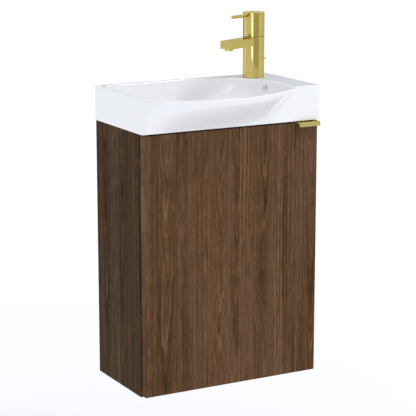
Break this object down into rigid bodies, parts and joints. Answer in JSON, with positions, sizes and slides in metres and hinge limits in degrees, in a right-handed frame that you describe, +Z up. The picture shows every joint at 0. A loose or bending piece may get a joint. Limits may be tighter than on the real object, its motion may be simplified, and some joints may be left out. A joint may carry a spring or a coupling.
{
  "type": "vanity unit",
  "caption": "Wall-hung mini vanity unit: one-door walnut cabinet, bow-front ceramic basin with a tap ledge, gold single-lever mixer, waste and bottle trap.",
  "frame": {"origin": "on the wall, halfway between the two wall bolts", "axes": "+X to the right across the front, +Y into the wall, +Z up; the door faces -Y"},
  "size_m": [0.407, 0.2991, 0.7445],
  "materials": {
    "walnut": "walnut foil on board, satin",
    "back_board": "thin board, matt",
    "zinc_steel": "zinc-plated",
    "zinc_alloy": "die-cast zinc, matt",
    "nickel_steel": "nickel-plated pressed steel",
    "satin_gold": "satin gold",
    "polished_gold": "polished gold",
    "glazed_white": "gloss glaze",
    "black_rubber": "matt",
    "clear_pad": "clear soft pad",
    "cartridge_plastic": "moulded",
    "bare_brass": "turned, bare",
    "chrome": "polished chrome"
  },
  "bodies": {
    "cabinet": {"side_left": "walnut", "side_right": "walnut", "bottom_panel": "walnut", "front_rail": "walnut", "rear_rail": "walnut", "back_panel": "back_board", "shelf": "walnut", "shelf_pins": "zinc_steel", "cam_discs": "zinc_alloy", "cam_bolts": "zinc_steel", "wall_rail": "zinc_steel", "hanger_left": "zinc_steel", "hanger_right": "zinc_steel", "hanger_screws": "zinc_steel", "door_bumpers": "clear_pad", "hinge_arm_upper": "nickel_steel", "hinge_arm_lower": "nickel_steel", "arm_pins": "zinc_steel", "hinge_plate_upper": "nickel_steel", "hinge_plate_lower": "nickel_steel", "plate_screws": "zinc_steel", "arm_screws": "zinc_steel", "basin": "glazed_white", "tap_gasket": "black_rubber", "tap_body": "polished_gold", "spout": "polished_gold", "aerator": "polished_gold", "chain_stud": "polished_gold", "cartridge": "cartridge_plastic", "cartridge_nut": "bare_brass", "fixing_stud": "zinc_steel", "rubber_horseshoe": "black_rubber", "steel_horseshoe": "zinc_steel", "stud_nut": "bare_brass", "waste_flange": "chrome", "waste_washer": "black_rubber", "waste_nut": "bare_brass", "tail_pipe": "chrome", "trap_nut": "chrome", "trap_bottle": "chrome", "trap_cup": "chrome", "outlet_nut": "chrome", "outlet_pipe": "chrome"},
    "hinge_links": {"hinge_link_upper": "nickel_steel", "hinge_link_lower": "nickel_steel"},
    "door": {"door": "walnut", "edge_pull": "satin_gold", "pull_screws": "satin_gold", "hinge_cup_upper": "nickel_steel", "hinge_cup_lower": "nickel_steel", "cup_screws": "zinc_steel", "cup_pins": "zinc_steel"},
    "tap_turret": {"turret": "bare_brass", "tilt_pin": "zinc_steel"},
    "tap_head": {"tap_head": "polished_gold", "lever_pin": "polished_gold"},
    "plug": {"plug": "chrome", "plug_seal": "black_rubber"}
  },
  "joints": [
    {"name": "hinge_link_turn", "type": "hinge", "parent": "cabinet", "child": "hinge_links", "pos_m": [-0.1624, -0.19316, 0], "axis": [0, 0, 1], "range_deg": [0, 23.7]},
    {"name": "door_open", "type": "hinge", "parent": "hinge_links", "child": "door", "pos_m": [-0.188, -0.2035, 0], "axis": [0, 0, -1], "range_deg": [0, 113.65]},
    {"name": "head_turn", "type": "hinge", "parent": "cabinet", "child": "tap_turret", "pos_m": [0.142, -0.05, 0.23], "axis": [0, 0, 1], "range_deg": [-45, 45]},
    {"name": "head_tilt", "type": "hinge", "parent": "tap_turret", "child": "tap_head", "pos_m": [0.15374, -0.04442, 0.236], "axis": [-0.4289, 0.9034, 0], "range_deg": [0, 20]},
    {"name": "plug_press", "type": "slide", "parent": "cabinet", "child": "plug", "axis": [0, 0, 1], "range_m": [-0.007, 0], "stiffness_N_per_m": 200, "springref_m": 0.01}
  ],
  "couplings": [
    {"joint": "hinge_link_turn", "follows": "door_open", "ratio": 0.20811}
  ]
}
